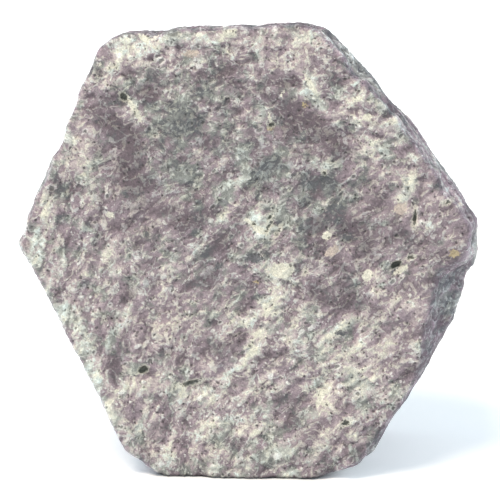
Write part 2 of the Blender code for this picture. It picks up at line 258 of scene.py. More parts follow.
# %% Patches one by one
# Middle X and Z, half-length and half-width in mm, and slant in degrees.
PATCHES = {
    "plum": [
        (-15.0, 14.6, 2.6, 1.5, -60), (-13.4, 11.8, 2.2, 1.3, -60), (-12.0, 8.4, 2.8, 1.5, 75),
        (-10.6, 17.8, 2.2, 1.0, 5), (5.4, 14.4, 2.2, 1.4, -35), (9.2, 12.4, 2.6, 1.1, -45),
        (4.6, 18.2, 2.0, 0.9, -10), (-7.0, 3.4, 2.0, 1.0, -35), (-9.4, 4.4, 1.8, 0.8, 10),
        (11.8, 2.0, 2.4, 1.3, -35), (16.8, 1.6, 1.8, 0.8, -15), (9.6, -5.2, 2.8, 1.1, -20),
        (-13.8, -11.8, 2.0, 1.1, 85), (-8.2, -11.6, 2.0, 0.8, -10), (-4.2, -11.2, 1.6, 0.9, 15),
        (9.4, 19.6, 2.0, 0.9, -65), (-2.0, 19.6, 1.6, 0.7, 15), (5.0, -17.4, 2.2, 1.2, 80),
        (-6.6, 22.0, 1.2, 0.8, 0), (16.8, 10.3, 1.0, 0.6, 0), (14.4, 5.2, 2.0, 0.9, -40),
    ],
    "slate": [
        (-4.6, -3.2, 1.9, 1.5, 60), (7.4, 6.8, 2.6, 0.8, -10), (6.6, 2.8, 1.1, 0.9, 0),
        # The two slate patches at X 22.0 and 20.8 are partly the scar's dark colour and partly painted shade
        # on the lower right edge.
        (2.0, 8.8, 2.2, 1.6, 90), (22.0, -4.4, 4.4, 1.3, 74), (20.8, -8.8, 3.0, 0.9, 64),
        (12.6, -21.8, 3.2, 1.0, 55), (-9.2, -18.4, 1.2, 1.0, 60), (0.6, -0.9, 0.9, 0.7, 0),
    ],
    "grey green": [
        (-7.0, 13.0, 2.8, 2.3, 20), (-3.8, 18.2, 2.6, 1.2, 10), (-6.8, 8.4, 2.6, 1.3, -10),
        (-2.2, -21.6, 1.9, 1.2, 0), (15.8, -2.0, 1.0, 1.0, 0), (2.2, 23.6, 2.8, 0.6, 3),
        (6.8, 6.4, 1.8, 1.3, 0), (9.8, 4.4, 2.0, 1.3, 20), (-12.2, -13.4, 1.4, 0.8, 20),
        (-13.2, -21.6, 1.8, 1.2, 0), (-3.8, 7.2, 1.6, 1.2, 0), (-2.6, -6.8, 1.4, 1.0, 0),
        (14.6, 17.0, 1.6, 1.0, -50), (-22.0, -4.4, 1.6, 1.2, -60),
    ],
    "brown": [
        (-11.2, 2.2, 2.0, 1.6, 60), (-14.8, 2.9, 1.3, 0.8, 20), (-1.4, -10.0, 1.1, 0.8, 30),
        (2.6, -12.4, 1.7, 0.7, 50), (7.0, -14.0, 1.5, 0.7, 15), (16.6, -13.4, 2.4, 1.3, 60),
        (-12.4, -17.8, 1.3, 0.9, 0), (1.6, -15.0, 1.0, 0.8, 0), (0.2, -5.2, 1.8, 0.7, 75),
    ],
    "rose": [
        (5.0, 21.0, 3.2, 2.4, -25), (22.6, 3.2, 2.4, 2.0, 0), (-8.4, -7.0, 2.6, 1.2, 60),
        (8.4, -20.2, 2.6, 1.2, 25),
        (9.8, -17.4, 1.6, 0.8, 25), (-12.8, -7.6, 2.0, 1.4, 70), (17.2, -9.0, 2.4, 1.4, 60),
        (14.6, -6.4, 2.2, 1.2, 40), (-6.2, -18.0, 1.0, 0.8, 0), (-8.0, -21.4, 1.8, 1.0, 0),
        (-14.4, 4.0, 3.6, 1.8, 10), (19.8, -0.6, 2.0, 1.4, 0), (18.6, -4.4, 2.6, 1.4, 50),
        (16.6, -9.8, 2.8, 1.8, 40), (-13.2, -7.4, 1.8, 1.2, 60),
        (15.2, -11.6, 2.0, 1.3, 60), (-4.0, -13.0, 1.6, 1.2, 0), (-10.6, -10.4, 1.6, 1.2, 0),
        (-8.4, 21.6, 1.6, 1.0, 0), (10.8, -1.0, 1.6, 1.2, 0), (9.6, 12.8, 1.8, 1.2, 0),
        (14.9, 7.5, 1.6, 1.2, 0), (15.0, 0.8, 1.6, 1.2, 0), (-14.0, 8.4, 1.8, 1.2, 0),
        (-13.2, 21.2, 2.0, 1.0, 20),
    ],
    "pink cream": [
        (-13.6, 20.8, 2.2, 1.0, 30), (-18.0, 11.6, 2.6, 1.1, 60),
        (17.0, -5.4, 1.6, 1.2, 60), (16.5, 4.3, 1.3, 1.2, 0), (-8.4, -9.2, 1.9, 0.8, 15),
        (-12.4, -15.4, 1.8, 1.0, -10), (11.4, 16.4, 1.6, 0.8, 20), (9.0, 1.2, 0.9, 0.9, 0),
        (-4.8, -22.6, 2.2, 1.0, 0),
    ],
    "cream": [
        (-17.0, 8.8, 1.6, 1.4, 90), (-22.0, 4.6, 1.5, 1.3, 60), (-15.0, -1.0, 1.3, 0.9, 45),
        (-17.6, -2.8, 1.8, 1.2, 45), (-9.2, -2.2, 3.0, 0.7, 85), (-2.4, 3.6, 1.5, 0.7, 60),
        (3.0, -5.6, 2.6, 0.9, 88), (3.0, -8.2, 1.5, 1.1, 70), (1.6, -1.6, 1.1, 0.7, 0),
        (-2.2, -7.8, 1.8, 0.7, -10), (0.4, -11.2, 2.8, 1.1, 48), (8.5, -11.2, 1.9, 1.2, 90),
        (12.4, -12.8, 2.8, 1.5, 62), (13.2, 7.0, 1.6, 0.9, 40), (15.0, -10.6, 1.4, 0.9, 35),
        (8.3, -16.6, 2.0, 0.8, 68),
        (0.6, -19.4, 1.6, 0.9, 0), (-3.6, -19.3, 1.7, 0.8, 0), (-6.2, -16.2, 3.0, 0.8, -15),
        (13.0, -3.0, 1.2, 0.9, 80), (10.8, -8.0, 1.4, 0.9, 20), (17.6, 7.8, 1.5, 0.9, 60),
        (13.2, 14.0, 1.6, 0.8, -25), (-14.8, -17.0, 1.6, 1.0, 80), (12.8, -20.2, 1.4, 0.8, 50),
        (12.8, 11.0, 1.2, 1.2, 0), (-2.4, 23.0, 1.2, 0.9, 20),
    ],
    "cool white": [
        (1.4, 3.0, 1.8, 1.4, 110), (3.6, 4.4, 1.5, 1.2, 90), (0.0, 7.6, 3.4, 0.8, 12),
        (-0.6, 10.0, 2.0, 0.8, 90), (-12.2, 16.4, 1.9, 0.5, -62), (-11.4, 22.0, 3.4, 0.9, 5),
        (7.4, 17.6, 2.4, 0.9, -72), (1.6, 21.8, 1.4, 0.6, -60), (-19.6, -7.8, 2.4, 1.0, -50),
        (-14.4, -8.6, 2.6, 0.6, 75), (-16.8, -12.8, 3.2, 0.8, -65), (4.2, -22.4, 3.0, 0.8, 5),
        (-23.4, 0.4, 2.2, 0.8, 85), (8.0, 9.0, 1.6, 0.7, -10),
    ],
}
print("Patches:", {kind: len(ellipses) for kind, ellipses in PATCHES.items()})

# %% [markdown]
# An ellipse with a clean edge would look painted on. So noise of two sizes bends each place first, and
# the strength falls off softly round the ellipse and into the depth of the stone. The vector noise
# that does the bending is seeded from the clock unless it gets a seed of its own, so one is set here,
# and every run makes the same stone.

# %% How strong the patches are at a place
PATCH_DEPTH = 7.0
PATCH_EDGE_BENDS = ((0.22, 1.2), (0.75, 0.5))  # lumps of noise per mm, and mm of bending
PATCH_FALL = 0.8
AREA_FALL = 0.7
BEND_SEED = 42
noise.seed_set(BEND_SEED)


def ellipse_reach(places, x, z, length, width, slant):
    """0 in the middle of an ellipse on the front face, 1 on its edge, and more outside."""
    turn = math.radians(slant)
    across, up = places[:, 0] - x, places[:, 2] - z
    along = (across * math.cos(turn) + up * math.sin(turn)) / length
    beside = (up * math.cos(turn) - across * math.sin(turn)) / width
    return np.hypot(along, beside)


def soft_step(low, high, values):
    """0 below low, 1 above high, and an S-shaped curve between them."""
    share = np.clip((values - low) / (high - low), 0.0, 1.0)
    return share * share * (3.0 - 2.0 * share)


def patch_fields(places):
    """How pale, pink and warm the patches make each place, and how calm it is, as four arrays."""
    bent = places.copy()
    for scale, amount in PATCH_EDGE_BENDS:
        bent += amount * np.array([noise.noise_vector(Vector(place) * scale) for place in places])
    totals = np.zeros((4, len(places)))
    for kind, ellipses in PATCHES.items():
        share = np.zeros(len(places))
        for ellipse in ellipses:
            reach = np.hypot(ellipse_reach(bent, *ellipse), bent[:, 1] / PATCH_DEPTH)
            share = np.maximum(share, np.exp(-PATCH_FALL * reach**3))
        totals[:3] += np.outer(PATCH_KINDS[kind], share)
    for *ellipse, strength in WIDE_AREAS + SMALL_SPOTS:
        totals[0] += strength * np.exp(-AREA_FALL * ellipse_reach(bent, *ellipse) ** 2)
    for ellipse in CALM_AREAS:
        totals[3] = np.maximum(totals[3], np.exp(-AREA_FALL * ellipse_reach(bent, *ellipse) ** 3))
    return totals


# %% [markdown]
# The results are stored on the mesh as attributes, one number or vector for each point, because both
# the relief and the material can read those, and an export can carry them.

# %% Read the mesh's points and store attributes on it
def store(mesh, name, values):
    field = mesh.attributes.new(name, "FLOAT", "POINT")
    field.data.foreach_set("value", np.asarray(values, dtype=np.float32))


def points_of(mesh):
    points = np.empty(3 * len(mesh.vertices))
    mesh.vertices.foreach_get("co", points)
    return points.reshape(-1, 3)


def normals_of(mesh):
    normals = np.empty(3 * len(mesh.vertices), dtype=np.float32)
    mesh.vertex_normals.foreach_get("vector", normals)
    return normals.reshape(-1, 3)


places = in_crystal_frame(points_of(stone.data))
charted = on_chart(places)
outward = normals_of(stone.data) @ lean_forward.T
patches = patch_fields(charted)
print("The patches' paleness runs from", patches[0].min().round(2), "to", patches[0].max().round(2))

# %% [markdown]
# Away from the front face the patches fade out and slow noise takes over, so that the sides and the
# back show the same mix of plum, grey and cream. On the side faces the patches are weaker, and faint
# bands run along them, as the crystal grew in layers. The sides are painted bluer, a painted reflection
# of the bluish sky at a grazing angle, and the narrow top face is painted darker and bluer still: painted
# shade against the key light above it, and the same painted reflection. The faces that look to the lower
# right, below the middle, are painted darker: partly the dark scar that a broken flake left there, and
# partly painted shade on faces turned away from the key light.

# %% The broad colour fields
FADE_DEPTH = 5.0
LEAST_DRIFT = 0.12
ALONG_LAYERS = np.array([0.12, 1.0, 0.12])
LAYER_SIZE = 1.3
SCAR_AND_SHADE_BEARING = math.radians(-25.0)
SCAR_AND_SHADE_DEPTHS = (5.0, 12.0)


def broad_noise(places, size, seed):
    """Slow noise from about -1 to 1 at each place."""
    shift = Vector((seed, 2.0 * seed, -seed))
    return np.array([2.0 * noise.noise(Vector(place) / size + shift) for place in places])


drift_share = np.clip(places[:, 1] / FADE_DEPTH, LEAST_DRIFT, 1.0)
drift = np.array([
    0.50 * broad_noise(places, 6.5, 3.1) + 0.45 * broad_noise(places, 2.6, 4.3),
    0.60 * broad_noise(places, 6.0, 5.7),
    0.50 * broad_noise(places, 8.0, 8.3),
    0.30 + 0.50 * broad_noise(places, 5.0, 9.7),
])
pale, pink, warm, calm = patches * (1.0 - drift_share) + drift * drift_share

side = soft_step(0.35, 0.80, np.hypot(outward[:, 0], outward[:, 2]))
back = soft_step(0.30, 0.80, outward[:, 1])
top = soft_step(0.30, 0.90, outward[:, 2])
layers = broad_noise(places * ALONG_LAYERS, LAYER_SIZE, 6.9)
pale += (0.45 * layers - 0.35 * pale) * side
# The narrow top face is painted darker: painted shade against the key light above it.
pale -= 0.55 * top
# Sides and top are painted bluer: a painted reflection of the bluish sky at a grazing angle.
warm -= 0.25 * side
warm -= 0.40 * top

# The darkening looks to the lower right, lies below the middle of the face, and fades with depth. It is
# partly the scar's own colour and partly painted shade on faces turned from the key light.
lower_right = outward[:, 0] * math.cos(SCAR_AND_SHADE_BEARING) + outward[:, 2] * math.sin(SCAR_AND_SHADE_BEARING)
scar_and_shade = soft_step(0.25, 0.70, lower_right) * soft_step(0.4, 2.4, -charted[:, 2])
scar_and_shade *= 1.0 - soft_step(*SCAR_AND_SHADE_DEPTHS, places[:, 1])
pale -= 0.70 * scar_and_shade
print("Paleness from", round(pale.min(), 2), "to", round(pale.max(), 2))

# %% [markdown]
# One more field says how busy the stone is, which is how strongly its streaks, crumbs and chips show.
# Dark and calm areas are the least busy.

# %% How busy the stone is
busy = (0.55 + 0.50 * soft_step(-0.9, 0.1, pale)) * (1.0 - 0.32 * np.clip(calm, 0.0, 1.0))
print("Busy from", round(busy.min(), 2), "to", round(busy.max(), 2))

# %% [markdown]
# A few marks stand out one by one: open pits, big white grains, and single ochre, peach and slate
# grains. For each sort the mesh keeps one field, which says how many millimetres inside the nearest
# mark a point lies. The material cuts the field at a ragged edge, so that the marks stay crisp.

# %% Single marks on the front face
# Middle X and Z, half-length and half-width in mm, and slant in degrees.
MARKS = {
    "hole": [
        (-13.4, 16.5, 0.46, 0.36, -45), (16.0, -1.7, 0.70, 0.36, 28), (18.1, 3.4, 0.85, 0.24, 84),
        (8.3, 8.3, 0.26, 0.24, 0), (2.25, 2.4, 0.55, 0.15, 64), (2.4, 3.5, 0.26, 0.20, 60),
        (-11.5, -13.3, 0.55, 0.38, 30), (2.6, 13.5, 0.30, 0.24, 0), (-9.8, 23.7, 0.55, 0.30, 10),
        (6.3, -2.4, 0.30, 0.18, 70), (17.7, -0.9, 0.38, 0.20, 10),
        (-6.3, -14.7, 1.10, 0.22, 12), (3.3, 1.9, 0.40, 0.12, 60), (0.62, 2.7, 0.20, 0.17, 0),
        (14.5, -22.6, 0.60, 0.30, 50), (10.6, -19.0, 0.50, 0.22, 35), (21.6, 5.1, 0.35, 0.14, 20),
    ],
    "white": [
        (3.8, -2.3, 1.25, 0.85, 8), (13.0, 14.4, 0.50, 0.42, 0), (13.0, -2.9, 0.70, 0.55, 60),
        (7.9, -16.4, 1.10, 0.36, 72), (-12.2, 15.1, 2.00, 0.30, -60), (1.4, 2.0, 0.90, 0.42, -20),
        (0.2, 3.0, 0.60, 0.26, -30), (-11.0, 22.7, 0.90, 0.34, -35), (-9.9, 22.9, 0.60, 0.24, 55),
        (3.8, 16.9, 0.45, 0.16, 50), (2.4, 14.2, 0.75, 0.18, 95), (7.0, 17.8, 1.50, 0.32, -60),
        (22.9, 4.6, 0.36, 0.16, -10), (8.3, 8.5, 0.42, 0.36, 0), (-16.0, 20.0, 0.30, 0.26, 0),
        (-15.0, 3.7, 0.45, 0.35, 0), (16.6, -2.3, 0.95, 0.30, 30), (8.6, 1.5, 0.52, 0.46, 30),
    ],
    "ochre": [
        (22.4, -0.4, 0.60, 0.42, 0), (6.2, 15.7, 0.45, 0.24, 20), (2.5, 13.2, 0.42, 0.26, 10),
        (0.9, -3.6, 0.26, 0.18, 0),
    ],
    "slate": [
        (0.6, -0.95, 0.95, 0.50, -10), (10.0, -9.1, 0.55, 0.34, -30), (-3.2, -2.0, 0.50, 0.28, 60),
        (9.2, 4.6, 0.90, 0.40, 40), (-11.0, -12.6, 0.40, 0.25, 0), (14.6, -21.0, 0.60, 0.30, 55),
    ],
    "peach": [
        (16.5, 4.4, 0.78, 0.60, 5), (-6.0, 21.2, 0.90, 0.40, 10), (9.1, -0.2, 0.85, 0.45, 35),
    ],
}
MARK_REACH = 0.8
MARK_DEPTH = 2.5


def mark_field(places, marks):
    """How far inside the nearest mark each place is, in mm. Outside a mark it is negative."""
    inside = np.full(len(places), -MARK_REACH)
    for mark in marks:
        inside = np.maximum(inside, (1.0 - ellipse_reach(places, *mark)) * mark[3])
    inside[places[:, 1] > MARK_DEPTH] = -MARK_REACH
    return inside


mark_fields = {sort: mark_field(charted, marks) for sort, marks in MARKS.items()}
print("Points inside a mark:", {sort: int((field > 0.0).sum()) for sort, field in mark_fields.items()})

# %% [markdown]
# The streaks of mica run in swarms. Most rise to the right at about 37 degrees, those near the top
# rise by only 8, and those at the lower left stand nearly upright. Two fields say how much a place
# belongs to the level and to the steep swarm. Behind the front face all streaks run the common way.

# %% Which way the streaks run
wander = 3.0 * broad_noise(places, 9.0, 1.3)
level = soft_step(7.0, 15.0, places[:, 2] + wander)
steep = soft_step(7.0, 16.0, -places[:, 0] - 0.6 * places[:, 2] + wander) * (1.0 - level)
frontal = 1.0 - soft_step(3.0, 8.0, places[:, 1])
level *= frontal
steep *= frontal
print("Points among level streaks:", int((level > 0.5).sum()), "and steep ones:", int((steep > 0.5).sum()))

# %% [markdown]
# ## One pattern for relief and colour
#
# Pale veins stand a little proud of the softer stone around them, and dark spots are mostly pits. To
# keep relief and colour together, one function builds the same pattern of nodes twice: as a geometry
# node group that moves the points, and as a shader node group that paints them.

# %% Small helpers for node trees
def add_node(tree, kind, inputs=(), **settings):
    """Adds a node. Inputs pairs a socket's name or number with a value or with a socket to join."""
    made = tree.nodes.new(kind)
    for setting, value in settings.items():
        setattr(made, setting, value)
    for socket, value in dict(inputs).items():
        if isinstance(value, bpy.types.NodeSocket):
            tree.links.new(value, made.inputs[socket])
        else:
            made.inputs[socket].default_value = value
    return made


def calculate(tree, operation, first, second=0.0, third=0.0, clamp=False):
    """A Math node's result."""
    inputs = {0: first, 1: second, 2: third}
    return add_node(tree, "ShaderNodeMath", inputs, operation=operation, use_clamp=clamp).outputs[0]


def ramp_between(tree, value, start, end, start_value=0.0, end_value=1.0):
    """A smooth ramp from start_value to end_value as the value goes from start to end."""
    inputs = {"Value": value, "From Min": start, "From Max": end, "To Min": start_value, "To Max": end_value}
    made = add_node(tree, "ShaderNodeMapRange", inputs, interpolation_type="SMOOTHSTEP")
    return made.outputs["Result"]


def noise_at(tree, place, scale, detail=2.0, roughness=0.5, seed=0.0):
    """Noise between 0 and 1 at a place given in millimetres. The scale is in lumps per millimetre."""
    moved = add_node(tree, "ShaderNodeVectorMath", {0: place, 1: (seed, seed, -seed)}, operation="ADD")
    inputs = {"Vector": moved.outputs[0], "Scale": scale, "Detail": detail, "Roughness": roughness}
    return add_node(tree, "ShaderNodeTexNoise", inputs)


def streaked_place(tree, place, angle, stretch):
    """The place turned so that X runs along the streaks, and squeezed along them."""
    turned = add_node(tree, "ShaderNodeVectorRotate", {"Vector": place, "Angle": math.radians(angle)},
                      rotation_type="Y_AXIS")
    squeezed = add_node(tree, "ShaderNodeVectorMath",
                        {0: turned.outputs[0], 1: (1.0 / stretch, 1.0, 1.0)}, operation="MULTIPLY")
    return squeezed.outputs[0]


# %% [markdown]
# The streaks are noise that is stretched along the swarm's direction. The stretching can't change from
# point to point without tearing the noise, so each swarm has its own noise, and the fields mix them.

# %% Streaks
STREAKS = (("Level", 8.0, 1.4), ("Steep", 70.0, 2.7), (None, 37.0, 2.7))  # swarm, degrees, stretch
STREAKS_PER_MM = 0.60
STREAK_CONTRAST = 2.2
CRUMBS_PER_MM = 2.2
CRUMB_CONTRAST = 0.85
PALE_STRENGTH = 0.34
MIDDLE_TONE = 0.465


def streaked_noise(tree, place, weights, scale, detail, seed, roughness=0.55):
    """Noise that is stretched along the swarm of streaks that a place belongs to."""
    total = None
    for name, angle, stretch in STREAKS:
        value = noise_at(tree, streaked_place(tree, place, angle, stretch), scale, detail, roughness, seed)
        weighted = calculate(tree, "MULTIPLY", value.outputs[0], weights[name])
        total = weighted if total is None else calculate(tree, "ADD", total, weighted)
    return total


def bend(tree, place, scale, amount, seed):
    """The place moved about by noise, by up to about a third of the amount in millimetres."""
    wobble = noise_at(tree, place, scale, 2.0, 0.5, seed).outputs["Color"]
    centred = add_node(tree, "ShaderNodeVectorMath", {0: wobble, 1: (0.5, 0.5, 0.5)}, operation="SUBTRACT")
    scaled = add_node(tree, "ShaderNodeVectorMath", {0: centred.outputs[0], "Scale": amount},
                      operation="SCALE")
    moved = add_node(tree, "ShaderNodeVectorMath", {0: place, 1: scaled.outputs[0]}, operation="ADD")
    return moved.outputs[0]


def mica_tone(tree, place, weights, pale, busy):
    """How dense the pale mica is: 0 or less where there is none, 1 where it hides the corundum."""
    streaks = streaked_noise(tree, place, weights, STREAKS_PER_MM, 2.0, 53.0, 0.8)
    crumbs = noise_at(tree, place, CRUMBS_PER_MM, 2.0, 0.8, 61.0).outputs[0]
    crumbs = calculate(tree, "SUBTRACT", crumbs, 0.5)
    lumps = calculate(tree, "MULTIPLY_ADD", streaks, STREAK_CONTRAST, -0.5 * STREAK_CONTRAST)
    lumps = calculate(tree, "MULTIPLY_ADD", crumbs, CRUMB_CONTRAST, lumps)
    broad_tone = calculate(tree, "MULTIPLY_ADD", pale, PALE_STRENGTH, MIDDLE_TONE)
    return calculate(tree, "MULTIPLY_ADD", lumps, busy, broad_tone)


# %% [markdown]
# Pale veins lace the stone. The places where a noise passes through its middle value form a web of
# lines, and a second noise makes the lines knotty and breaks them. The thin rims of the mica's flakes
# are the borders between the cells of a Voronoi texture, broken in the same way.

# %% Veins and flake rims
FLAKE_SLANT = 30.0
FLAKES_PER_MM = 0.62
VEINS_PER_MM = (0.42, 0.90)
VEIN_WIDTHS = (0.045, 0.065)
RIM_WIDTH = 0.080


def knotty_lines(tree, field, knots, width):
    """1 in the middle of the lines where the field passes through its middle value, 0 where they break."""
    away = calculate(tree, "ABSOLUTE", calculate(tree, "SUBTRACT", field, 0.5))
    half_width = calculate(tree, "MULTIPLY", ramp_between(tree, knots, 0.42, 0.66), width)
    return ramp_between(tree, calculate(tree, "SUBTRACT", half_width, away), -0.006, 0.018)


def flake_rims(tree, place, knots):
    """1 on the borders between flakes, 0 inside the flakes and where the borders break."""
    flakes = add_node(tree, "ShaderNodeTexVoronoi",
                      {"Vector": streaked_place(tree, place, FLAKE_SLANT, 1.3), "Scale": FLAKES_PER_MM},
                      feature="DISTANCE_TO_EDGE")
    half_width = calculate(tree, "MULTIPLY", ramp_between(tree, knots, 0.42, 0.70), RIM_WIDTH)
    inside = calculate(tree, "SUBTRACT", half_width, flakes.outputs["Distance"])
    return ramp_between(tree, inside, -0.012, 0.035)


def pale_web(tree, place, weights):
    """The wide veins, the narrow ones and the flake rims together."""
    wide = streaked_noise(tree, place, weights, VEINS_PER_MM[0], 1.0, 3.0)
    narrow = streaked_noise(tree, place, weights, VEINS_PER_MM[1], 1.0, 17.0)
    knots = noise_at(tree, place, 1.3, 2.0, 0.7, 41.0).outputs[0]
    other_knots = noise_at(tree, place, 1.7, 2.0, 0.7, 47.0).outputs[0]
    veins = calculate(tree, "MAXIMUM", knotty_lines(tree, wide, knots, VEIN_WIDTHS[0]),
                      knotty_lines(tree, narrow, other_knots, VEIN_WIDTHS[1]))
    return calculate(tree, "MAXIMUM", veins, flake_rims(tree, place, knots))


# %% [markdown]
# Between the veins the stone is crushed grain. Voronoi cells of two sizes give each grain its own
# shade, and the same cells, picked by their random numbers, hold the bright chips, the dark pits, and
# pale rims round the larger pits, which are painted highlights on their lips.

# %% Grains, chips and pits
GRAINS_PER_MM = (1.35, 3.0)
GRAIN_SLANT = 36.0


def random_cells(tree, place, scale, seed):
    """Two random numbers for each cell of a Voronoi texture, and the distance from the cell's middle."""
    moved = add_node(tree, "ShaderNodeVectorMath", {0: place, 1: (seed, -seed, seed)}, operation="ADD")
    cells = add_node(tree, "ShaderNodeTexVoronoi", {"Vector": moved.outputs[0], "Scale": scale})
    parts = add_node(tree, "ShaderNodeSeparateXYZ", {0: cells.outputs["Color"]}).outputs
    return parts[0], parts[1], cells.outputs["Distance"]


def dots(tree, cells, low, high, smallest, largest):
    """Round dots in the cells whose first random number lies between low and high."""
    chance, other, distance = cells
    chosen = calculate(tree, "MULTIPLY", calculate(tree, "GREATER_THAN", chance, low),
                       calculate(tree, "LESS_THAN", chance, high))
    radius = ramp_between(tree, other, 0.0, 1.0, smallest, largest)
    inside = calculate(tree, "SUBTRACT", radius, distance)
    return calculate(tree, "MULTIPLY", chosen, ramp_between(tree, inside, -0.06, 0.06))


def chips_and_pits(tree, coarse, fine):
    """Bright dots, with pale rims round the larger pits as painted highlights on their lips, and dark dots.
    """
    chips_and_lit_rims = calculate(tree, "MAXIMUM", dots(tree, coarse, 0.95, 1.0, 0.20, 0.42),
                      dots(tree, fine, 0.89, 1.0, 0.22, 0.42))
    # Pale rims round the larger pits: painted highlights on their lips.
    lit_pit_rims = dots(tree, coarse, 0.0, 0.05, 0.36, 0.48)
    chips_and_lit_rims = calculate(tree, "MAXIMUM", chips_and_lit_rims, calculate(tree, "MULTIPLY", lit_pit_rims, 0.7))
    pits = calculate(tree, "MAXIMUM", dots(tree, coarse, 0.0, 0.05, 0.16, 0.32),
                     dots(tree, fine, 0.0, 0.16, 0.22, 0.44))
    return chips_and_lit_rims, pits


# %% [markdown]
# The group puts the parts together. It has five outputs: the mica's *Tone*, the *Web* of veins and
# rims, the *Mosaic* of grains, *Chips and lit rims*, which are bright chips with painted highlights
# on the pits' rims, and *Pits*. Veins and chips are weaker where there is little mica. Before all
# that, noise of three sizes bends the place, so that nothing runs straight.

# %% The stone's pattern, as a node group
PATTERN_FIELDS = ("Pale", "Busy", "Level", "Steep")
PATTERN_PARTS = ("Tone", "Web", "Mosaic", "Chips and lit rims", "Pits")
BENDS = ((0.30, 1.1, 0.0), (1.4, 0.34, 11.0), (4.5, 0.09, 15.0))  # lumps per mm, amount in mm, seed


def build_pattern(tree_kind):
    tree = bpy.data.node_groups.new("stone pattern", tree_kind)
    tree.interface.new_socket("Place", in_out="INPUT", socket_type="NodeSocketVector")
    for name in PATTERN_FIELDS:
        tree.interface.new_socket(name, in_out="INPUT", socket_type="NodeSocketFloat")
    for name in PATTERN_PARTS:
        tree.interface.new_socket(name, in_out="OUTPUT", socket_type="NodeSocketFloat")
    given = tree.nodes.new("NodeGroupInput").outputs
    results = tree.nodes.new("NodeGroupOutput").inputs

    ragged = given["Place"]
    for scale, amount, seed in BENDS:
        ragged = bend(tree, ragged, scale, amount, seed)
    named_swarms = calculate(tree, "ADD", given["Level"], given["Steep"])
    other = calculate(tree, "SUBTRACT", 1.0, named_swarms, clamp=True)
    weights = {"Level": given["Level"], "Steep": given["Steep"], None: other}
    tone = mica_tone(tree, ragged, weights, given["Pale"], given["Busy"])
    density = ramp_between(tree, tone, 0.12, 0.62, 0.38, 1.0)
    coarse = random_cells(tree, streaked_place(tree, ragged, GRAIN_SLANT, 1.5), GRAINS_PER_MM[0], 5.0)
    fine = random_cells(tree, ragged, GRAINS_PER_MM[1], 9.0)
    chips_and_lit_rims, pits = chips_and_pits(tree, coarse, fine)
    made = {
        "Tone": tone,
        "Web": calculate(tree, "MULTIPLY", pale_web(tree, ragged, weights), density),
        "Mosaic": calculate(tree, "MULTIPLY", calculate(tree, "ADD", coarse[1], fine[1]), 0.5),
        "Chips and lit rims": calculate(tree, "MULTIPLY", chips_and_lit_rims, calculate(tree, "MULTIPLY", density, given["Busy"])),
        "Pits": pits,
    }
    for name, result in made.items():
        tree.links.new(result, results[name])
    return tree


shader_pattern = build_pattern("ShaderNodeTree")
geometry_pattern = build_pattern("GeometryNodeTree")
print("The pattern has", len(shader_pattern.nodes), "nodes")

# %% [markdown]
# ## Relief
#
# The geometry nodes move every point along its normal: up where the mica is dense, on the veins and
# chips, and in at the pits and the open holes. The side faces are smoother than the front, so they
# get less of it. The underside stays flat, because the stone stands on it.

# %% Relief from the pattern
RELIEF_HEIGHTS = {"Tone": 0.26, "Web": 0.13, "Mosaic": 0.14, "Chips and lit rims": 0.07, "Pits": -0.16}  # in mm
HOLE_DEPTH = 0.45


def named_field(tree, name, kind="FLOAT"):
    made = add_node(tree, "GeometryNodeInputNamedAttribute", {"Name": name}, data_type=kind)
    return made.outputs["Attribute"]


def build_relief():
    tree = bpy.data.node_groups.new("stone relief", "GeometryNodeTree")
    tree.interface.new_socket("Geometry", in_out="INPUT", socket_type="NodeSocketGeometry")
    tree.interface.new_socket("Geometry", in_out="OUTPUT", socket_type="NodeSocketGeometry")
    given = tree.nodes.new("NodeGroupInput").outputs
    results = tree.nodes.new("NodeGroupOutput").inputs
    pattern = add_node(tree, "GeometryNodeGroup", node_tree=geometry_pattern)
    tree.links.new(named_field(tree, "place", "FLOAT_VECTOR"), pattern.inputs["Place"])
    for name in PATTERN_FIELDS:
        tree.links.new(named_field(tree, name.lower()), pattern.inputs[name])
    height = 0.0
    for name, full_height in RELIEF_HEIGHTS.items():
        height = calculate(tree, "MULTIPLY_ADD", pattern.outputs[name], full_height, height)
    hole = ramp_between(tree, named_field(tree, "hole"), -0.15, 0.30, 0.0, HOLE_DEPTH)
    height = calculate(tree, "MULTIPLY", calculate(tree, "SUBTRACT", height, hole), MM)
    height = calculate(tree, "MULTIPLY", height, named_field(tree, "free"))
    normal = tree.nodes.new("GeometryNodeInputNormal").outputs[0]
    offset = add_node(tree, "ShaderNodeVectorMath", {0: normal, "Scale": height}, operation="SCALE")
    moved = add_node(tree, "GeometryNodeSetPosition", {"Geometry": given[0], "Offset": offset.outputs[0]})
    tree.links.new(moved.outputs[0], results[0])
    return tree


relief_nodes = build_relief()
print("The relief has", len(relief_nodes.nodes), "nodes around the pattern")

# %% Store the fields and move the points
FLAT_BASE = 0.25
SIDE_SMOOTHNESS = 0.4


def store_place(mesh, places):
    field = mesh.attributes.new("place", "FLOAT_VECTOR", "POINT")
    field.data.foreach_set("vector", places.astype(np.float32).ravel())


height = points_of(stone.data)[:, 2] / MM
free = soft_step(0.0, FLAT_BASE, height) * (1.0 - SIDE_SMOOTHNESS * side)
fields = {
    "pale": pale, "busy": busy, "pink": pink, "warm": warm, "side": side, "back": back,
    "level": level, "steep": steep, "height": height, "free": free, **mark_fields,
}
store_place(stone.data, places)
for name, values in fields.items():
    store(stone.data, name, values)
relief = stone.modifiers.new("relief", "NODES")
relief.node_group = relief_nodes
bpy.context.view_layer.update()
apply_modifiers(stone, "crystal_skin")
print("After the relief:", len(stone.data.vertices), "points")

# %% [markdown]
# ## Fewer triangles
#
# Flat stretches don't need triangles as small as ridges do. A Decimate modifier merges them where
# that changes the shape least, which keeps the mesh light enough to share. The even grid's faces are
# four-sided, so each counts as two triangles.

# %% Thin out the mesh
MOST_TRIANGLES = 192000


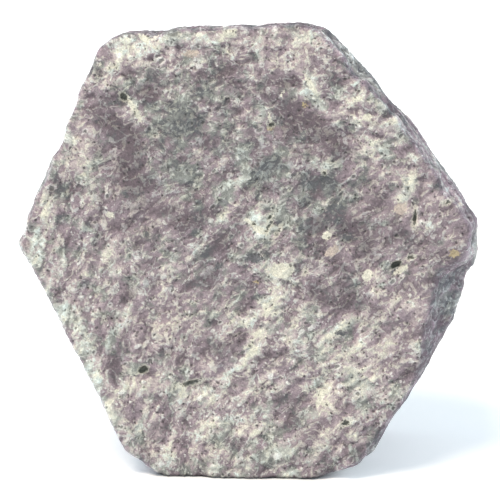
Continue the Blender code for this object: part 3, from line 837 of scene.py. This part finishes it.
def thin_out(thing):
    triangles = 2 * len(thing.data.polygons)
    if triangles > MOST_TRIANGLES:
        thinning = thing.modifiers.new("fewer_triangles", "DECIMATE")
        thinning.ratio = MOST_TRIANGLES / triangles
        bpy.context.view_layer.update()
        apply_modifiers(thing, "crystal_skin")
    thing.data.shade_smooth()


thin_out(stone)
print("Triangles:", sum(len(face.vertices) - 2 for face in stone.data.polygons))
print("Attributes:", [field.name for field in stone.data.attributes])

# %% [markdown]
# ## The stone's material
#
# Corundum is a poor reflector when it is rough, so the stone looks matt with small glints. Its colours
# are given as they look in the photograph, and a helper turns them into the shader's own units. The
# front face gets more light than a white card at the picture's white, and that light is a little
# warmer, so every colour is divided by it.

# %% Colours as seen
FRONT_LIGHT = (1.385, 1.35, 1.34)


def seen(*colour):
    """The paint colour that looks like this 0 to 255 colour on the stone's front face."""
    linear = []
    for part, light in zip(colour, FRONT_LIGHT):
        share = part / 255.0
        share = share / 12.92 if share <= 0.04045 else ((share + 0.055) / 1.055) ** 2.4
        linear.append(share / light)
    return (*linear, 1.0)


STONE_COLOURS = {
    "plum": seen(104, 90, 97),
    "slate": seen(93, 94, 98),
    "mauve": seen(157, 140, 147),
    "grey green": seen(146, 147, 141),
    "pale pink": seen(205, 189, 187),
    "pale grey": seen(195, 196, 188),
    "cream": seen(241, 236, 217),
    "cool white": seen(232, 241, 235),
    "hole": seen(74, 78, 70),
    "shaded pit": seen(78, 76, 76),
    "chip and highlight": seen(252, 250, 243),
    "ochre": seen(190, 171, 132),
    "peach": seen(216, 198, 184),
}
print("Plum as paint:", [round(part, 3) for part in STONE_COLOURS["plum"][:3]])

# %% [markdown]
# The colour follows the tone in four steps, from dark corundum to dense pale mica, and each step has a
# pink or warm and a grey or cool variety. Slow noise chooses between them, led by the pink and warm
# fields. Veins raise the tone a little and carry the palest colour, and chips lie over them, with the
# painted highlights on the pits' rims.

# %% The colour of the stone, with its veins and chips
PINK_STRENGTH = 0.28
WARM_STRENGTH = 0.27
VEIN_TONE = 0.15
VEIN_STRENGTH = 0.45
CHIP_AND_HIGHLIGHT_STRENGTH = 0.68
GRAIN_HUE = 0.10


def mix_colours(tree, share, first, second, blend="MIX"):
    made = add_node(tree, "ShaderNodeMix", data_type="RGBA", blend_type=blend)
    sockets = (made.inputs[0], made.inputs[6], made.inputs[7])
    for socket, value in zip(sockets, (share, first, second)):
        if isinstance(value, bpy.types.NodeSocket):
            tree.links.new(value, socket)
        else:
            socket.default_value = value
    return made.outputs[2]


def attribute(tree, name, output="Fac"):
    made = add_node(tree, "ShaderNodeAttribute", attribute_name=name)
    return made.outputs[output]


def veined_colour(tree, place, parts):
    """The stone's colour from its pattern. Each step starts and ends at a tone, the palest last."""
    hue = noise_at(tree, place, 0.55, 4.0, 0.65, 83.0).outputs[0]
    grains = calculate(tree, "SUBTRACT", parts["Mosaic"], 0.5)
    hue = calculate(tree, "MULTIPLY_ADD", grains, GRAIN_HUE, hue)
    pinkness = calculate(tree, "MULTIPLY_ADD", attribute(tree, "pink"), PINK_STRENGTH, hue)
    pinkness = ramp_between(tree, pinkness, 0.36, 0.56)
    warmth = noise_at(tree, place, 0.7, 4.0, 0.7, 103.0).outputs[0]
    warmth = calculate(tree, "MULTIPLY_ADD", attribute(tree, "warm"), WARM_STRENGTH, warmth)
    warmth = ramp_between(tree, warmth, 0.38, 0.60)
    palest = mix_colours(tree, warmth, STONE_COLOURS["cool white"], STONE_COLOURS["cream"])
    steps = (
        (mix_colours(tree, pinkness, STONE_COLOURS["grey green"], STONE_COLOURS["mauve"]), 0.08, 0.48),
        (mix_colours(tree, pinkness, STONE_COLOURS["pale grey"], STONE_COLOURS["pale pink"]), 0.45, 0.78),
        (palest, 0.72, 1.05),
    )
    colour = mix_colours(tree, pinkness, STONE_COLOURS["slate"], STONE_COLOURS["plum"])
    veined_tone = calculate(tree, "MULTIPLY_ADD", parts["Web"], VEIN_TONE, parts["Tone"])
    for next_colour, start, end in steps:
        colour = mix_colours(tree, ramp_between(tree, veined_tone, start, end), colour, next_colour)
    veins = calculate(tree, "MULTIPLY", parts["Web"], VEIN_STRENGTH)
    colour = mix_colours(tree, veins, colour, palest)
    chips_and_lit_rims = calculate(tree, "MULTIPLY", parts["Chips and lit rims"], CHIP_AND_HIGHLIGHT_STRENGTH)
    return mix_colours(tree, chips_and_lit_rims, colour, STONE_COLOURS["chip and highlight"])


# %% [markdown]
# The marks come next. Noise frays each mark's edge, so that no ellipse shows, and an open hole has a
# pale rim, a painted highlight on its lip.

# %% The colour of the single marks
# The paint of each sort, and how far its edge is frayed, in mm.
MARK_LOOKS = {
    "ochre": ("ochre", 0.9),
    "peach": ("peach", 0.9),
    "slate": ("slate", 1.0),
    "white": ("cream", 0.5),
    "hole": ("hole", 0.7),
}
MARK_STRENGTH = 0.85
HOLE_RIM_HIGHLIGHT = 0.50


def add_marks(tree, place, colour):
    """The colour with the single marks laid over it, cut at a frayed edge."""
    fray = calculate(tree, "SUBTRACT", noise_at(tree, place, 3.6, 2.0, 0.7, 127.0).outputs[0], 0.5)
    for sort, (paint, fraying) in MARK_LOOKS.items():
        field = calculate(tree, "MULTIPLY_ADD", fray, fraying, attribute(tree, sort))
        if sort == "hole":
            # A pale rim round each hole: a painted highlight on its lip.
            lit_rim = ramp_between(tree, field, -0.26, -0.12, 0.0, HOLE_RIM_HIGHLIGHT)
            colour = mix_colours(tree, lit_rim, colour, STONE_COLOURS["cream"])
        share = ramp_between(tree, field, -0.05, 0.05, 0.0, MARK_STRENGTH)
        colour = mix_colours(tree, share, colour, STONE_COLOURS[paint])
    return colour


# %% [markdown]
# Last come the pits and the shade: the pits are painted dark, partly their own dark fill and partly
# painted shade in the hollows, each grain is a little lighter or darker than the next, fine dust
# speckles the stone, and the lowest half millimetre is painted dark, a painted contact shadow where
# the stone meets the floor. The sides and the back get less light than the front face, so their paint
# is a little lighter: painted light. The sides' paint is bluer as well, a painted reflection of the
# bluish sky at a grazing angle, and the back's is warmer, against the cool sky light on it. The bump
# adds the detail that is finer than the mesh.

# %% Build the stone's material
GRAIN_SHADES = (0.84, 1.16)
DUST_SHADES = (0.74, 1.26)
PAINTED_FOOT_SHADE = 0.22
PIT_STRENGTH = 0.70
# Painted light: the sides and the back are painted lighter, since they get less light than the front face;
# the sides are painted bluer, a painted reflection of the bluish sky, and the back warmer.
PAINTED_SIDE_LIGHT_AND_SHEEN = (1.18, 1.15, 1.24, 1.0)
PAINTED_BACK_LIGHT = (1.18, 1.10, 1.10, 1.0)
BUMP_HEIGHTS = {"Tone": 1.0, "Pits": -0.8, "Chips and lit rims": 0.4, "Web": 0.8}
BUMP_STRENGTH = 0.6
BUMP_DEPTH = 0.14 * MM


def build_stone_material():
    material = bpy.data.materials.new("rough ruby")
    material.use_nodes = True
    tree = material.node_tree
    shader = tree.nodes["Principled BSDF"]
    place = attribute(tree, "place", "Vector")
    pattern = add_node(tree, "ShaderNodeGroup", node_tree=shader_pattern)
    tree.links.new(place, pattern.inputs["Place"])
    for name in PATTERN_FIELDS:
        tree.links.new(attribute(tree, name.lower()), pattern.inputs[name])
    parts = pattern.outputs

    colour = add_marks(tree, place, veined_colour(tree, place, parts))
    # The pits are painted dark: partly their own dark fill, partly painted shade in the hollows.
    pits = calculate(tree, "MULTIPLY", parts["Pits"], PIT_STRENGTH)
    colour = mix_colours(tree, pits, colour, STONE_COLOURS["shaded pit"])
    grains = ramp_between(tree, parts["Mosaic"], 0.0, 1.0, *GRAIN_SHADES)
    dust = noise_at(tree, place, 7.0, 2.0, 0.7, 113.0).outputs[0]
    dust = ramp_between(tree, dust, 0.25, 0.75, *DUST_SHADES)
    # Painted contact shadow: the lowest half millimetre is painted dark where the stone meets the floor.
    foot_shade = ramp_between(tree, attribute(tree, "height"), 0.12, 0.50, PAINTED_FOOT_SHADE, 1.0)
    shade = calculate(tree, "MULTIPLY", calculate(tree, "MULTIPLY", grains, dust), foot_shade)
    colour = add_node(tree, "ShaderNodeVectorMath", {0: colour, "Scale": shade}, operation="SCALE").outputs[0]
    for where, tint in (("side", PAINTED_SIDE_LIGHT_AND_SHEEN), ("back", PAINTED_BACK_LIGHT)):
        colour = mix_colours(tree, attribute(tree, where), colour, tint, "MULTIPLY")
    tree.links.new(colour, shader.inputs["Base Color"])

    roughness = ramp_between(tree, parts["Mosaic"], 0.1, 0.9, 0.38, 0.70)
    tree.links.new(roughness, shader.inputs["Roughness"])
    shader.inputs["IOR"].default_value = 1.5
    bump_height = dust
    for name, full_height in BUMP_HEIGHTS.items():
        bump_height = calculate(tree, "MULTIPLY_ADD", parts[name], full_height, bump_height)
    bump = add_node(tree, "ShaderNodeBump",
                    {"Strength": BUMP_STRENGTH, "Distance": BUMP_DEPTH, "Height": bump_height})
    tree.links.new(bump.outputs[0], shader.inputs["Normal"])
    return material


stone.data.materials.append(build_stone_material())
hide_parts("ruby_crystal")
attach(stone, "root")
print("The stone's material has", len(stone.data.materials[0].node_tree.nodes), "nodes")

# %% [markdown]
# ## Floor and light
#
# The photograph is high key: a white sheet, lit a little from below, that burns out to plain white
# under a bright, bluish sky, and one large, warmer light high above the stone, a little to the front
# and left. The only broad shadow is the pale blue one under the stone's right-hand overhang. The light
# from below is made by a glow of the sheet itself, which fades near the stone's foot and leaves the
# thin dark line where the stone touches the sheet.

# %% White floor
FLOOR_RADIUS = 3.0
FLOOR_GLOW = (0.88, 0.95, 1.0, 1.0)
FLOOR_GLOW_STRENGTH = 0.38
SHEET_TINTS = ((0.86, 0.87, 0.89, 1.0), (0.90, 0.90, 0.91, 1.0))
BLACK = (0.0, 0.0, 0.0, 1.0)
FOOT_MIDDLE = Vector((-0.6, -3.1, 0.0)) * MM
FOOT_HALF_SIZE = Vector((8.5, 10.0, 1.0)) * MM
GLOW_RETURNS = 3.5 * MM


def distance_from_foot(tree, place):
    """How far a place on the floor is from the flat rectangle that the stone stands on."""
    away = place
    beside_middle = (("SUBTRACT", FOOT_MIDDLE), ("ABSOLUTE", None))
    beyond_edge = (("SUBTRACT", FOOT_HALF_SIZE), ("MAXIMUM", Vector()))
    for operation, vector in beside_middle + beyond_edge:
        inputs = {0: away} if vector is None else {0: away, 1: vector}
        away = add_node(tree, "ShaderNodeVectorMath", inputs, operation=operation).outputs[0]
    return add_node(tree, "ShaderNodeVectorMath", {0: away}, operation="LENGTH").outputs["Value"]


def make_floor():
    bpy.ops.mesh.primitive_circle_add(vertices=96, radius=FLOOR_RADIUS, fill_type="NGON")
    floor = bpy.context.object
    floor.name = "floor"
    material = bpy.data.materials.new("white card")
    material.use_nodes = True
    tree = material.node_tree
    shader = tree.nodes["Principled BSDF"]
    place = tree.nodes.new("ShaderNodeTexCoord").outputs["Object"]
    fibre = add_node(tree, "ShaderNodeTexNoise", {"Vector": place, "Scale": 900.0, "Detail": 3.0})
    tint = mix_colours(tree, fibre.outputs[0], *SHEET_TINTS)
    tree.links.new(tint, shader.inputs["Base Color"])
    shader.inputs["Roughness"].default_value = 0.9
    shader.inputs["Specular IOR Level"].default_value = 0.1
    glow = ramp_between(tree, distance_from_foot(tree, place), 0.0, GLOW_RETURNS)
    tree.links.new(mix_colours(tree, glow, BLACK, FLOOR_GLOW), shader.inputs["Emission Color"])
    shader.inputs["Emission Strength"].default_value = FLOOR_GLOW_STRENGTH
    floor.data.materials.append(material)
    return floor


floor = make_floor()
print("The floor is", 2 * FLOOR_RADIUS, "m across")

# %% [markdown]
# The sky is a plain even world. The key light hangs high above, to the front and left. The colours are
# shown as they are, with no film curve.

# %% Lights
KEY_PLACE = Vector((-0.24, -0.34, 0.92))
KEY_SIZE = 0.50
KEY_POWER = 9.0
KEY_COLOUR = (1.0, 0.86, 0.72)
SKY_COLOUR = (0.83, 0.94, 1.0)
SKY_STRENGTH = 0.82


def make_key_light():
    lamp = bpy.data.lights.new("key", "AREA")
    lamp.shape = "DISK"
    lamp.size = KEY_SIZE
    lamp.energy = KEY_POWER
    lamp.color = KEY_COLOUR
    key = bpy.data.objects.new("key", lamp)
    key.location = KEY_PLACE
    key.rotation_euler = (KEY_PLACE - AIM).to_track_quat("Z", "Y").to_euler()
    bpy.context.scene.collection.objects.link(key)
    return key


def make_sky():
    world = bpy.data.worlds.new("sky")
    world.use_nodes = True
    background = world.node_tree.nodes["Background"]
    background.inputs["Color"].default_value = (*SKY_COLOUR, 1.0)
    background.inputs["Strength"].default_value = SKY_STRENGTH
    bpy.context.scene.world = world


key = make_key_light()
make_sky()
bpy.context.scene.view_settings.view_transform = "Standard"
print("The key light is", round(key.location.length, 2), "m from the stone")
